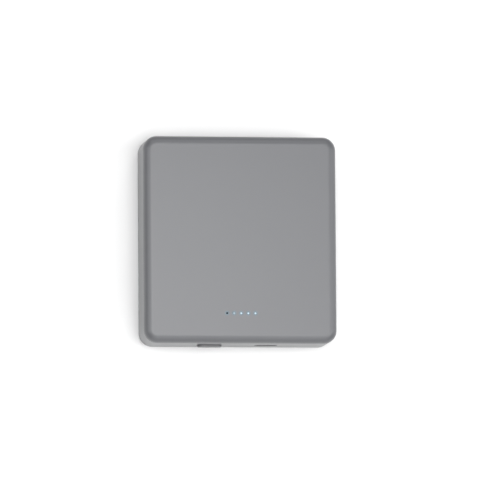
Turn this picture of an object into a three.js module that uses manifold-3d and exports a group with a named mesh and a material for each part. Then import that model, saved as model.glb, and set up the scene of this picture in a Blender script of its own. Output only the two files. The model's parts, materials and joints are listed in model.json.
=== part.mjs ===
// A palm-sized power station: four 18650 cells in parallel behind a charging board, in a two-shell case.
// The front has a push button and a USB-C socket. Five charge lights shine through pin holes in the top.
// Millimetres, +Z up, -Y towards the button and the socket, origin at the centre of the underside.
import * as THREE from "three";
import { mergeVertices } from "three/addons/utils/BufferGeometryUtils.js";
import Module from "manifold-3d";

const wasm = await Module();
wasm.setup();

// ---------------------------------------------------------------- driving dimensions
const wall = 2; // both shells
const cornerRadius = 5.4; // upright corners of the case
const edgeRadius = 3.3; // rounding round the top and the underside

const cell = { count: 4, canRadius: 9, length: 65, shoulder: 0.9, spacing: 0.2 };
const sleeve = { gap: 0.05, thickness: 0.15 }; // the film round each cell
const crimp = { fromEnd: 3.6, depth: 0.7 }; // the groove rolled round a can near its positive end
const cellEnd = { radius: 6.2, gap: 0.1, depth: 0.7, thickness: 0.45, rimWidth: 1.2, slope: 0.4 };
const sideGap = 0.4; // between the outer cells and the side walls
const rearGap = 2.05; // between the cells and the rear wall: strip, sheet and ribs
const pad = { lower: 0.6, upper: 0.7, gap: 0.1, inset: 6 };

const seam = { gap: 0.3, lipDepth: 2.1, lipThickness: 0.9, clearance: 0.1 };
const snap = { length: 8, size: 0.5, clearance: 0.15, below: 0.95 };

const board = { standoff: 6.9, thickness: 1.2, depth: 10.9, sideGap: 0.8, frontGap: 0.35, rearGap: 2.2 };
const boardCorner = 0.8;
const choke = { x: -0.4, rearGap: 0.35, frontGap: 0.8, height: 3, corner: 1.3, rounding: 0.25 }; // inductor
const portSpread = 11.6; // the button and the socket are this far left and right of the middle
const usb = { width: 8.94, height: 3.26, skin: 0.3, length: 7.3, recess: 0.45, lift: 0.07, cutGap: 0.3 };
const usbTongue = { width: 6.69, thickness: 0.7, fromMouth: 0.85, block: 1.9, blockGap: 0.1, gap: 0.05 };
const usbStep = { thickness: 1.26, length: 0.9, rounding: 0.3 }; // the thicker root of the tongue
const usbLeg = { length: 1, through: 0.3, slotGap: 0.2, rows: [2.6, 5.9] };

const button = { width: 10, height: 4.2, proud: 0.9, gap: 0.35, edge: 0.45, travel: 0.4 };
const flange = { margin: 0.9, thickness: 0.8, gap: 0.15, corner: 1.2, notchGap: 0.4, rearGap: 0.3 };
const tact = { width: 6.2, depth: 1.95, frontGap: 0.95, gap: 0.05, stemRadius: 1, headRadius: 1.3 };
const tactFoot = { rows: [0.35, 1.25], length: 0.4, reach: 0.5, thickness: 0.2 };
const tactHood = { width: 5.2, skin: 0.2, footGap: 0.25, rearGap: 0.4, holeGap: 0.12 }; // steel cover
const pocket = { depth: 0.95, gap: 0.12 };
const dome = { radius: 1.25, rise: 0.4, skin: 0.1 };

const lights = { count: 5, pitch: 2.9, fromRearEdge: 1.2, holeRadius: 0.4, tipRadius: 0.35, sunk: 0.05 };
const led = { width: 0.8, length: 1.6, height: 0.6, lens: 0.9 };
const guide = { legRadius: 0.7, bar: 1.4, barDepth: 2.4, gap: 0.3, topGap: 0.1 };
const baffle = { boreRadius: 0.95, skin: 0.5, end: 1.5, lift: 0.05 };

const chargeChip = { width: 4.2, depth: 4.2, height: 0.95, x: 19.4, fromRearEdge: 4.5 };
const boostChip = { width: 4.6, depth: 3.4, height: 1.4, pins: 4, x: -18.4, fromRearEdge: 3 };
const powerSwitch = { width: 3.8, depth: 2.2, height: 1.1, pins: 3 };
const chipLift = 0.1; // between the body of a chip and the board
const chipLeg = { pitch: 1.27, width: 0.4, reach: 0.7, root: 0.3, thickness: 0.28 };
const chipCapacitor = { width: 3.2, depth: 1.4, height: 1.3, end: 0.5, inset: 0.05 };
const capacitorRow = { fromNotch: 0.35, spacing: 3.6, fromFrontEdge: 1.1 };
const chokeTab = { width: 2.4, reach: 0.2, thickness: 0.58 };
const solderGap = 0.02; // under the terminals of the small parts

const caseScrew = { radius: 1, headRadius: 2, headHeight: 1.4, length: 10, gap: 0.15, seat: 2.8 };
const boardScrew = { radius: 0.9, headRadius: 1.7, headHeight: 1.2, length: 5, gap: 0.15 };
const caseScrewPlace = { fromSide: 4.5, fromBoardRear: 5 };
const boardScrewPlace = { fromSideEdge: 5.8, fromRearEdge: 4 };
const screwTip = { length: 1, radius: 0.5 }; // the radius is a share of the screw's
const crossSlot = { width: 0.45, reach: 1.05 }; // the reach is a share of the head's radius
const bossWall = 1.4; // round every screw
const pilotGap = 0.05; // between a screw and the hole that it grips
const pilotEndGap = 0.8; // below the tip of a screw
const bossGap = 0.2; // between the bosses of the two shells
const seat = 0.02; // under a small piece that lies on another
const label = { fromSide: 4.5, fromFront: 4.2, length: 22, thickness: 0.15, recess: 0.25, gap: 0.3 };
const labelCorner = 2;

const strip = { thickness: 0.15, width: 8, overhang: 4, gap: 0.05 };
const stripTab = { width: 3.2, narrowing: 0.6, shoulder: 1.5 }; // reaches down from a strip to its lead
const sheet = { thickness: 0.3, gap: 0.2, height: 10.4, fromSide: 4, corner: 1 };
const padCorner = 2;
const lead = { radius: 0.7, cornerGapX: 2.1, height: 4.2, lift: 0.15, endGap: 0.3, fromBoard: 1.2 };
const leadPad = { fromSideEdge: 2.4, fromRearEdge: 1.4 };
const sensorBead = { radius: 0.9, length: 2.4, aboveCells: 6.4, fromCellFront: 3.6 };
const sensorLead = { width: 0.7, thickness: 1.5, fromCellFront: 3.45 };
const rib = { thickness: 0.8, gap: 0.15, hold: 1.1, fromSide: 6, sensorGap: 3 }; // holds the end sheets

// ---------------------------------------------------------------- sizes that follow from them
const sleeveRadius = cell.canRadius + sleeve.gap + sleeve.thickness;
const cellPitch = 2 * sleeveRadius + cell.spacing;
const packWidth = (cell.count - 1) * cellPitch + 2 * sleeveRadius;
const boardBay = board.frontGap + board.depth + board.rearGap;
const innerWidth = packWidth + 2 * sideGap;
const innerLength = rearGap + cell.length + boardBay;
const innerHeight = pad.lower + pad.upper + 3 * pad.gap + 2 * sleeveRadius;
const width = innerWidth + 2 * wall;
const length = innerLength + 2 * wall;
const height = innerHeight + 2 * wall;

const front = -length / 2;
const frontInside = front + wall;
const rearInside = length / 2 - wall;
const ceiling = height - wall;
const lidFloor = height - edgeRadius; // the lid starts where the top rounding ends
const rim = lidFloor - seam.gap;
const skin = wall - seam.lipThickness - seam.clearance; // what is left of the lower shell beside the lip

const cellRear = rearInside - rearGap;
const cellFront = cellRear - cell.length;
const cellHeight = wall + pad.lower + pad.gap + sleeveRadius;
const cellX = (i) => (i - (cell.count - 1) / 2) * cellPitch;

const boardUnderside = wall + board.standoff;
const boardTop = boardUnderside + board.thickness;
const boardFront = frontInside + board.frontGap;
const boardRear = boardFront + board.depth;
const caseScrewX = innerWidth / 2 - caseScrewPlace.fromSide;
const caseScrewY = boardRear - caseScrewPlace.fromBoardRear;
const lidBossRadius = caseScrew.radius + bossWall;
const boardWidth = 2 * (caseScrewX - lidBossRadius - board.sideGap);
const boardScrewX = boardWidth / 2 - boardScrewPlace.fromSideEdge;
const boardScrewY = boardRear - boardScrewPlace.fromRearEdge;
const portHeight = boardTop + usb.lift + usb.height / 2;
const mouth = front + usb.recess; // front edge of the socket
const lightsY = boardRear - lights.fromRearEdge;
const notchHalf = button.width / 2 + button.gap + flange.margin + flange.notchGap; // in the board
const capacitorX = portSpread + notchHalf + capacitorRow.fromNotch + chipCapacitor.width / 2;
const lightX = (i) => (i - (lights.count - 1) / 2) * lights.pitch;

const flangeFront = frontInside + flange.gap;
const flangeRear = flangeFront + flange.thickness;
const plungerFront = flangeRear + tact.gap;
const sides = [[-1, "left"], [1, "right"]];

// The layers at the two ends of the cells, from the cells outwards: strip, insulating sheet, rib.
const stripFront = cellFront - strip.gap - strip.thickness;
const stripRear = cellRear + strip.gap;
const sheetFront = stripFront - sheet.gap - sheet.thickness;
const sheetRear = stripRear + strip.thickness + sheet.gap;
const ribFront = sheetFront - rib.gap - rib.thickness;
const ribRear = sheetRear + sheet.thickness + rib.gap;

// ---------------------------------------------------------------- materials
const finish = (color, roughness, metalness = 0) =>
  new THREE.MeshStandardMaterial({ color, roughness, metalness });
// The kinds of surface. Every piece gets its own copy of one of them.
const look = {
  case: finish(0x96979a, 0.55),
  button: finish(0x8f9093, 0.5),
  clear: finish(0xe8eef2, 0.15),
  black: finish(0x1d1e20, 0.5),
  steel: finish(0xb9bcc0, 0.3, 1),
  nickel: finish(0xc9c5b8, 0.35, 1),
  solderMask: finish(0x16492f, 0.45),
  ferrite: finish(0x3a3b3e, 0.7),
  ceramic: finish(0xa88a63, 0.5),
  ledBody: finish(0xf1efe2, 0.4),
  sleeve: finish(0x2c6fae, 0.35),
  paper: finish(0x9fb3a6, 0.85),
  foam: finish(0x26272a, 0.95),
  labelFilm: finish(0xb9babd, 0.6),
  redLead: finish(0xb3201c, 0.5),
  blackLead: finish(0x19191b, 0.5),
  sensor: finish(0x6b4a2a, 0.5),
};

// ---------------------------------------------------------------- helpers
const ARC = 8; // steps in a quarter turn of an outline
const EDGE = 5; // steps in the rounding of an edge
const ROUND = 20; // sides of a turned piece
const COARSE = 12; // sides of a small round piece
const BEYOND = 1; // how far a cutter reaches past the face that it cuts
const OVERLAP = 0.2; // how far two parts of one piece reach into each other

// Six times the volume inside a closed triangle mesh, negative when its faces point inwards.
function signedVolume(position, triangles) {
  const [a, b, c] = [new THREE.Vector3(), new THREE.Vector3(), new THREE.Vector3()];
  let total = 0;
  for (let i = 0; i < triangles.length; i += 3) {
    a.fromBufferAttribute(position, triangles[i]);
    b.fromBufferAttribute(position, triangles[i + 1]);
    c.fromBufferAttribute(position, triangles[i + 2]);
    total += a.dot(b.cross(c));
  }
  return total;
}

// A closed three.js geometry as a solid that can be cut and joined.
function solid(geometry) {
  const source = geometry.clone();
  for (const name of Object.keys(source.attributes)) {
    if (name !== "position") source.deleteAttribute(name);
  }
  const merged = mergeVertices(source, 1e-4);
  const index = merged.index.array;
  const triangles = [];
  for (let i = 0; i < index.length; i += 3) {
    const [a, b, c] = [index[i], index[i + 1], index[i + 2]];
    if (a !== b && b !== c && c !== a) triangles.push(a, b, c);
  }
  if (signedVolume(merged.attributes.position, triangles) < 0) triangles.reverse();
  return new wasm.Manifold(
    new wasm.Mesh({
      numProp: 3,
      vertProperties: new Float32Array(merged.attributes.position.array),
      triVerts: new Uint32Array(triangles),
    }),
  );
}

function geometryOf(shape) {
  const mesh = shape.getMesh();
  return new THREE.BufferGeometry()
    .setAttribute("position", new THREE.BufferAttribute(mesh.vertProperties, 3))
    .setIndex(new THREE.BufferAttribute(mesh.triVerts, 1))
    .toNonIndexed();
}

const join = (first, ...rest) => rest.reduce((all, next) => all.add(next), first);
const cut = (first, ...rest) => rest.reduce((left, next) => left.subtract(next), first);

function place(parent, name, shape, surface, x = 0, y = 0, z = 0) {
  const geometry = geometryOf(shape.isBufferGeometry ? solid(shape) : shape);
  geometry.computeVertexNormals();
  const mesh = new THREE.Mesh(geometry, surface.clone());
  mesh.name = name;
  mesh.position.set(x, y, z);
  parent.add(mesh);
}

function groupAt(parent, x, y, z) {
  const made = new THREE.Group();
  made.position.set(x, y, z);
  parent.add(made);
  return made;
}

// A rectangle with rounded corners, each drawn in `steps` straight pieces.
function roundedRectangle(across, along, radius, steps = ARC) {
  const r = Math.min(radius, across / 2, along / 2);
  const x = across / 2 - r;
  const y = along / 2 - r;
  const corners = [[x, y], [-x, y], [-x, -y], [x, -y]];
  const points = corners.flatMap(([cx, cy], quarter) =>
    Array.from({ length: steps + 1 }, (_, i) => {
      const angle = ((quarter + i / steps) * Math.PI) / 2;
      return new THREE.Vector2(cx + r * Math.cos(angle), cy + r * Math.sin(angle));
    }),
  );
  const apart = points.filter((point, i) => point.distanceTo(points.at(i - 1)) > 1e-3);
  return new THREE.Shape(apart);
}

// An outline in X and Y, from one height to another, with both ends rounded over by `round`.
function upright(shape, low, high, round = 0, steps = EDGE) {
  return new THREE.ExtrudeGeometry(shape, {
    depth: high - low - 2 * round,
    bevelEnabled: round > 0,
    bevelThickness: round,
    bevelSize: round,
    bevelOffset: -round,
    bevelSegments: steps,
  }).translate(0, 0, low + round);
}

// An outline in X and Z, from one Y to a larger one.
const lengthwise = (shape, near, far, round = 0, steps = EDGE) =>
  upright(shape, -far, -near, round, steps).rotateX(Math.PI / 2);

const box = (x0, x1, y0, y1, z0, z1) =>
  new THREE.BoxGeometry(x1 - x0, y1 - y0, z1 - z0).translate((x0 + x1) / 2, (y0 + y1) / 2, (z0 + z1) / 2);

// Two boxes, one on each side of X = 0, from `inner` to `outer`.
const boxPair = (inner, outer, ...rest) =>
  [[inner, outer], [-outer, -inner]].map(([from, to]) => solid(box(from, to, ...rest)));

const rod = (radius, low, high, x = 0, y = 0, sides = ROUND) =>
  new THREE.CylinderGeometry(radius, radius, high - low, sides)
    .rotateX(Math.PI / 2)
    .translate(x, y, (low + high) / 2);

// A profile of [radius, distance] turned about the Y axis. Distances run towards -Y.
const turned = (profile) =>
  new THREE.LatheGeometry(profile.map(([r, y]) => new THREE.Vector2(r, -y)), ROUND);

// The plan of the case, moved in by `inset`, from one height to another.
const planAt = (inset, low, high, round = 0) =>
  upright(roundedRectangle(width - 2 * inset, length - 2 * inset, cornerRadius - inset), low, high, round);

// ---------------------------------------------------------------- case
const caseBlock = () => solid(planAt(0, 0, height, edgeRadius));
const caseHollow = () => solid(planAt(wall, wall, ceiling, edgeRadius - wall));

// A slot through the front wall, `gap` larger all round than the piece in it: the socket or the button.
const pill = (across, high) => roundedRectangle(across, high, high / 2);
const frontSlot = (piece, gap) => {
  const outline = pill(piece.width + 2 * gap, piece.height + 2 * gap);
  return solid(lengthwise(outline, front - BEYOND, frontInside + BEYOND));
};

// Beads along the lip of the upper shell, and the grooves that they click into, differ only in size.
function snapBars(size) {
  const level = rim - snap.below;
  const face = { x: width / 2 - skin - seam.clearance, y: length / 2 - skin - seam.clearance };
  const bar = (turn, x, y) =>
    solid(
      new THREE.BoxGeometry(snap.length + (size - snap.size), size, size)
        .rotateX(Math.PI / 4)
        .rotateZ(turn)
        .translate(x, y, level),
    );
  const besideCells = sides.flatMap(([side]) =>
    [-1, 1].map((end) => bar(Math.PI / 2, side * face.x, (end * length) / 4)),
  );
  const rear = sides.map(([side]) => bar(0, (side * width) / 4, face.y));
  return join(...besideCells, ...rear);
}

const labelY = front + label.fromFront + label.length / 2;
const labelWidth = width - 2 * label.fromSide;

// The label's outline, drawn in by `gap`, from one height to another.
const labelPlate = (gap, low, high) =>
  upright(
    roundedRectangle(labelWidth - 2 * gap, label.length - 2 * gap, labelCorner - gap, ARC / 2),
    low,
    high,
  ).translate(0, labelY, 0);

// The upright rib in front of the cells, in the lower shell.
const floorStop = () => {
  const half = packWidth / 2 - rib.fromSide;
  const top = cellHeight - sheet.height / 2 + rib.hold;
  return box(-half, half, ribFront, ribFront + rib.thickness, wall / 2, top);
};

// Short ribs on the rear wall, between the cells.
const rearRib = (x) => {
  const half = rib.thickness / 2;
  return box(x - half, x + half, ribRear, rearInside + wall / 2, wall / 2, rim - seam.lipDepth - BEYOND);
};

function lowerShell() {
  const tub = cut(
    caseBlock().intersect(solid(box(-width, width, -length, length, -BEYOND, rim))),
    caseHollow(),
    solid(planAt(skin, rim - seam.lipDepth, rim + BEYOND)),
    snapBars(snap.size + snap.clearance),
    frontSlot(usb, usb.cutGap).translate([portSpread, 0, portHeight]),
    frontSlot(button, button.gap).translate([-portSpread, 0, portHeight]),
    solid(labelPlate(0, -BEYOND, label.recess)),
  );
  const headBore = caseScrew.headRadius + caseScrew.gap;
  const bossTop = caseScrew.seat + bossWall;
  const pilotEnd = boardTop - boardScrew.length - pilotEndGap;
  const bosses = sides.flatMap(([side]) => [
    solid(rod(headBore + bossWall / 2, wall / 2, bossTop, side * caseScrewX, caseScrewY)),
    solid(rod(boardScrew.radius + bossWall, wall / 2, boardUnderside, side * boardScrewX, boardScrewY)),
  ]);
  const bores = sides.flatMap(([side]) => [
    solid(rod(headBore, -BEYOND, caseScrew.seat, side * caseScrewX, caseScrewY)),
    solid(rod(caseScrew.radius + caseScrew.gap, 0, height, side * caseScrewX, caseScrewY)),
    solid(rod(boardScrew.radius + pilotGap, pilotEnd, height, side * boardScrewX, boardScrewY)),
  ]);
  const rearRibs = [-1, 0, 1].map((place) => solid(rearRib(place * cellPitch)));
  return cut(join(tub, ...bosses, solid(floorStop()), ...rearRibs), ...bores);
}

// A rib that hangs from the lid in front of the cells, from one X to another.
const lidStop = (from, to) => {
  const low = cellHeight + sheet.height / 2 - rib.hold;
  return solid(box(from, to, ribFront, ribFront + rib.thickness, low, ceiling + wall / 2));
};

function upperShell() {
  const cover = cut(
    caseBlock().intersect(solid(box(-width, width, -length, length, lidFloor, height + BEYOND))),
    caseHollow(),
  );
  const lip = cut(
    solid(planAt(skin + seam.clearance, rim - seam.lipDepth + seam.clearance, lidFloor + wall / 4)),
    solid(planAt(wall, 0, height)),
  );
  const bossEnd = caseScrew.seat + bossWall + bossGap;
  const pilotEnd = caseScrew.seat + caseScrew.length + pilotEndGap;
  const bosses = sides.map(([side]) =>
    solid(rod(lidBossRadius, bossEnd, ceiling + wall / 2, side * caseScrewX, caseScrewY)),
  );
  const pilots = sides.map(([side]) =>
    solid(rod(caseScrew.radius + pilotGap, 0, pilotEnd, side * caseScrewX, caseScrewY)),
  );
  const holes = Array.from({ length: lights.count }, (_, i) =>
    solid(rod(lights.holeRadius, ceiling - BEYOND, height + BEYOND, lightX(i), lightsY, COARSE)),
  );
  const stops = [
    lidStop(-packWidth / 2 + rib.fromSide, cellPitch - rib.sensorGap),
    lidStop(cellPitch + rib.sensorGap, packWidth / 2 - rib.fromSide),
  ];
  return cut(join(cover, lip, snapBars(snap.size), ...bosses, ...stops), ...pilots, ...holes);
}

// ---------------------------------------------------------------- fasteners
// A pan-head screw pointing up, with the underside of its head at height 0.
function screw({ radius, headRadius, headHeight, length: reach }) {
  const profile = [
    [0, headHeight],
    [headRadius * 0.75, headHeight],
    [headRadius, headHeight * 0.45],
    [headRadius, 0],
    [radius, 0],
    [radius, screwTip.length - reach],
    [radius * screwTip.radius, -reach],
    [0, -reach],
  ];
  const arm = new THREE.BoxGeometry(headRadius * crossSlot.reach, headHeight, crossSlot.width);
  const cross = [0, Math.PI / 2].map((turn) => solid(arm.clone().rotateY(turn).translate(0, -headHeight, 0)));
  return cut(solid(turned(profile)), ...cross).rotate([90, 0, 0]);
}

// ---------------------------------------------------------------- button and its switch
function buttonCap() {
  const cap = solid(
    lengthwise(pill(button.width, button.height), front - button.proud, flangeRear, button.edge),
  );
  const margin = button.gap + flange.margin;
  const outline = roundedRectangle(button.width + 2 * margin, button.height + 2 * margin, flange.corner, 3);
  return join(cap, solid(lengthwise(outline, flangeFront, flangeRear)));
}

const tactFront = plungerFront + tact.frontGap; // front face of the switch
const tactHeight = 2 * (portHeight - boardTop - seat);
const pocketRadius = tact.headRadius + pocket.gap;
const domeFoot = pocket.depth - seat; // where the rim of the dome stands
const plungerHeadRear = domeFoot - dome.rise - dome.skin - tact.gap;

function tactHousing() {
  const half = tact.width / 2;
  const low = -tactHeight / 2;
  const body = solid(box(-half, half, 0, tact.depth, low, tactHeight / 2));
  const hollow = solid(new THREE.CylinderGeometry(pocketRadius, pocketRadius, 2 * pocket.depth, ROUND));
  const feet = tactFoot.rows.flatMap((y) =>
    boxPair(half - OVERLAP, half + tactFoot.reach, y, y + tactFoot.length, low, low + tactFoot.thickness),
  );
  return join(cut(body, hollow), ...feet);
}

function tactCover() {
  const half = tactHood.width / 2;
  const face = -tact.gap - tactHood.skin;
  const top = tactHeight / 2 + tact.gap;
  const low = tactHood.footGap - tactHeight / 2;
  const plate = solid(box(-half, half, face, -tact.gap, low, top + tactHood.skin));
  const hood = solid(box(-half, half, face, tact.depth - tactHood.rearGap, top, top + tactHood.skin));
  const bore = tact.stemRadius + tactHood.holeGap;
  return cut(join(plate, hood), solid(new THREE.CylinderGeometry(bore, bore, tact.depth, ROUND)));
}

// Turned about Y, with the head inside the housing. Distances run towards the button.
const plunger = () => {
  const stem = tactFront - plungerFront;
  const bevel = 0.15;
  return turned([
    [0, stem],
    [tact.stemRadius - bevel, stem],
    [tact.stemRadius, stem - bevel],
    [tact.stemRadius, -tact.gap],
    [tact.headRadius, -tact.gap],
    [tact.headRadius, -plungerHeadRear],
    [0, -plungerHeadRear],
  ]);
};

// A shallow snap dome whose rim stands on the floor of the pocket.
function snapDome() {
  const steps = 3;
  const arch = (lift) =>
    Array.from({ length: steps + 1 }, (_, i) => [
      (dome.radius * i) / steps,
      dome.rise * (1 - (i / steps) ** 2) + lift,
    ]);
  return turned([...arch(dome.skin), ...arch(0).reverse()]);
}

// ---------------------------------------------------------------- socket
function usbShell() {
  const inside = pill(usb.width - 2 * usb.skin, usb.height - 2 * usb.skin);
  const tube = cut(
    solid(lengthwise(pill(usb.width, usb.height), 0, usb.length)),
    solid(lengthwise(inside, -BEYOND, usb.length + BEYOND)),
  );
  const legEnd = -usb.height / 2 - usb.lift - board.thickness - usbLeg.through;
  const legs = usbLeg.rows.flatMap((y) =>
    boxPair(usb.width / 2 - usb.skin, usb.width / 2, y, y + usbLeg.length, legEnd, 0),
  );
  return join(tube, ...legs);
}

// The moulded core of the socket: a block at the rear, the tongue, and the thicker root of the tongue.
function usbCore() {
  const room = usb.skin + usbTongue.gap;
  const face = usb.length - usbTongue.block;
  const plug = pill(usb.width - 2 * room, usb.height - 2 * room);
  const blade = roundedRectangle(usbTongue.width, usbTongue.thickness, usbTongue.thickness / 4, 2);
  const root = roundedRectangle(usbTongue.width, usbStep.thickness, usbStep.rounding, 2);
  return join(
    solid(lengthwise(plug, face, usb.length - usbTongue.blockGap)),
    solid(lengthwise(blade, usbTongue.fromMouth, face + OVERLAP)),
    solid(lengthwise(root, face - usbStep.length, face + OVERLAP)),
  );
}

// ---------------------------------------------------------------- board
// Its top is at height 0 and its front edge at Y = 0.
function boardPlate() {
  const [low, high] = [-board.thickness - BEYOND, BEYOND];
  const plate = solid(
    upright(roundedRectangle(boardWidth, board.depth, boardCorner, 3), -board.thickness, 0),
  ).translate([0, board.depth / 2, 0]);
  const notchRear = flangeRear + button.travel + flange.rearGap - boardFront;
  const notch = solid(box(-portSpread - notchHalf, -portSpread + notchHalf, -BEYOND, notchRear, low, high));
  const holes = sides.map(([side]) =>
    solid(rod(boardScrew.radius + boardScrew.gap, low, high, side * boardScrewX, boardScrewY - boardFront)),
  );
  const gap = usbLeg.slotGap;
  const outer = usb.width / 2;
  const slots = usbLeg.rows.flatMap((row) => {
    const from = mouth + row - boardFront;
    return boxPair(outer - usb.skin - gap, outer + gap, from - gap, from + usbLeg.length + gap, low, high);
  });
  return cut(plate, notch, ...holes, ...slots.map((slot) => slot.translate([portSpread, 0, 0])));
}

// A chip standing on `pins` legs a side.
function chip({ width: across, depth: along, height: tall, pins = 0 }) {
  const body = solid(upright(roundedRectangle(across, along, 0.15, 1), chipLift, tall, 0.08, 1));
  const half = chipLeg.width / 2;
  const top = solderGap + chipLeg.thickness;
  const legs = Array.from({ length: pins }, (_, i) =>
    boxPair(along / 2 - chipLeg.root, along / 2 + chipLeg.reach, -half, half, solderGap, top).map((leg) =>
      leg.rotate([0, 0, 90]).translate([(i - (pins - 1) / 2) * chipLeg.pitch, 0, 0]),
    ),
  ).flat();
  return join(body, ...legs);
}

// A ceramic block with a metal cap at each end.
function capacitorBlock({ width: across, depth: along, height: tall, end, inset }) {
  const [x, y] = [across / 2, along / 2];
  const reach = x - end + OVERLAP;
  const block = box(-reach, reach, inset - y, y - inset, solderGap + inset, tall - inset);
  return join(solid(block), ...boxPair(x - end, x, -y, y, solderGap, tall));
}

function inductor(side, tall) {
  const outline = roundedRectangle(side, side, choke.corner, 3);
  const block = solid(upright(outline, chipLift, tall, choke.rounding, 2));
  const reach = side / 2 + chokeTab.reach;
  const half = chokeTab.width / 2;
  return join(block, solid(box(-reach, reach, -half, half, solderGap, solderGap + chokeTab.thickness)));
}

// A charge light: a base, with a lens over its middle.
function ledBlock() {
  const half = led.width / 2;
  const base = box(-half, half, -led.length / 2, led.length / 2, solderGap, led.height / 2);
  const lensHalf = led.lens / 2;
  return join(solid(base), solid(box(-half, half, -lensHalf, lensHalf, led.height * 0.4, led.height)));
}

// ---------------------------------------------------------------- light guide
const guideBarTop = ceiling - guide.topGap;
const guideBarUnderside = guideBarTop - guide.bar;
const guideFoot = boardTop + led.height + guide.gap;
const baffleTop = guideBarUnderside - guide.gap / 2;
const rowHalf = ((lights.count - 1) * lights.pitch) / 2;

function lightGuide() {
  const bar = solid(
    upright(
      roundedRectangle(2 * rowHalf + guide.barDepth, guide.barDepth, guide.barDepth / 2, 4),
      guideBarUnderside,
      guideBarTop,
    ),
  );
  const pins = Array.from({ length: lights.count }, (_, i) => [
    solid(rod(guide.legRadius, guideFoot, guideBarUnderside + OVERLAP, lightX(i), 0, COARSE)),
    solid(rod(lights.tipRadius, guideBarTop - OVERLAP, height - lights.sunk, lightX(i), 0, COARSE)),
  ]).flat();
  return join(bar, ...pins);
}

function lightBaffle() {
  const half = rowHalf + baffle.boreRadius + baffle.end;
  const deep = baffle.boreRadius + baffle.skin;
  const block = solid(box(-half, half, -deep, deep, boardTop + baffle.lift, baffleTop));
  const bores = Array.from({ length: lights.count }, (_, i) =>
    solid(rod(baffle.boreRadius, 0, height, lightX(i), 0, COARSE)),
  );
  return cut(block, ...bores);
}

// ---------------------------------------------------------------- cells
// Every cell piece is turned about Y with the negative end at 0 and the positive end towards -Y.
const cellCan = () => {
  const { canRadius: r, length: l, shoulder: s } = cell;
  const groove = l - crimp.fromEnd;
  const well = cellEnd.radius + cellEnd.gap;
  return turned([
    [0, 0],
    [r - s, 0],
    [r - s * 0.3, s * 0.3],
    [r, s],
    [r, groove - crimp.depth],
    [r - crimp.depth, groove],
    [r, groove + crimp.depth],
    [r, l - s],
    [r - s * 0.3, l - s * 0.3],
    [r - s, l],
    [well, l],
    [well, l - cellEnd.depth],
    [0, l - cellEnd.depth],
  ]);
};

// A film that turns in over both shoulders of the can.
const cellSleeve = () => {
  const { length: l, shoulder: s } = cell;
  const t = sleeve.thickness;
  const inside = cell.canRadius + sleeve.gap;
  const lip = inside - s / 4;
  const turn = s * 0.28;
  return turned([
    [lip, turn],
    [lip + t, turn - t / 2],
    [sleeveRadius, s * 0.9],
    [sleeveRadius, l - s * 0.9],
    [lip + t, l - turn + t / 2],
    [lip, l - turn],
    [inside, l - s],
    [inside, s],
    [lip, turn],
  ]);
};

const cellCap = () => {
  const floor = cell.length - cellEnd.depth + seat;
  const rimTop = floor + cellEnd.thickness * 0.7;
  const foot = cellEnd.radius - cellEnd.rimWidth;
  return turned([
    [0, floor],
    [cellEnd.radius, floor],
    [cellEnd.radius, rimTop],
    [foot, rimTop],
    [foot - cellEnd.slope, cell.length],
    [0, cell.length],
  ]);
};

// A nickel strip across the cell ends, in X and Z, with a tab reaching down to the lead on one side.
function cellStrip(side, near, far) {
  const half = cellX(cell.count - 1) + strip.overhang;
  const low = cellHeight - strip.width / 2;
  const high = cellHeight + strip.width / 2;
  const tabX = innerWidth / 2 - lead.cornerGapX;
  const tabLow = lead.height - stripTab.width / 2 + OVERLAP;
  const tabIn = tabX - stripTab.width / 2;
  const tabOut = tabX + stripTab.width / 2 - stripTab.narrowing;
  const outline = [
    [-half, low],
    [half - stripTab.width, low],
    [tabIn, lead.height],
    [tabIn, tabLow],
    [tabOut, tabLow],
    [tabOut, lead.height + lead.radius],
    [half, low + stripTab.shoulder],
    [half, high],
    [-half, high],
  ];
  const shape = new THREE.Shape(outline.map(([x, z]) => new THREE.Vector2(x, z)));
  const made = solid(lengthwise(shape, near, far));
  return side > 0 ? made : made.mirror([1, 0, 0]);
}

const insulator = (near, far) =>
  lengthwise(roundedRectangle(packWidth - 2 * sheet.fromSide, sheet.height, sheet.corner, 2), near, far)
    .translate(0, 0, cellHeight);

const foamPad = (thickness) => {
  const outline = roundedRectangle(packWidth - 2 * pad.inset, cell.length - 2 * pad.inset, padCorner, 3);
  return upright(outline, 0, thickness);
};

// ---------------------------------------------------------------- leads
const tubeAlong = (points, section, steps) =>
  new THREE.ExtrudeGeometry(section, {
    steps,
    extrudePath: new THREE.CatmullRomCurve3(points.map((p) => new THREE.Vector3(...p)), false, "centripetal"),
  });

// From a pad on the board, over its side edge and down to the corner beside the outer cell.
// `rest` holds the distances along Y of the points beyond the corner.
function leadRoute(side, rest) {
  const x = innerWidth / 2 - lead.cornerGapX;
  const padX = boardWidth / 2 - leadPad.fromSideEdge;
  const y = boardRear - leadPad.fromRearEdge;
  const z = boardTop + lead.radius + lead.lift;
  const dip = (z + lead.height) / 2;
  return [
    [padX, y, z],
    [padX + 1.9, y, z + 0.15],
    [padX + 4, y + 0.2, z - 0.9],
    [(padX + x) / 2 + 1.6, y + 0.7, dip],
    [x - 0.5, y + 1.3, lead.height + 0.9],
    ...rest.map((behind) => [x, behind, lead.height]),
  ].map(([px, py, pz]) => [side * px, py, pz]);
}

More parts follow.
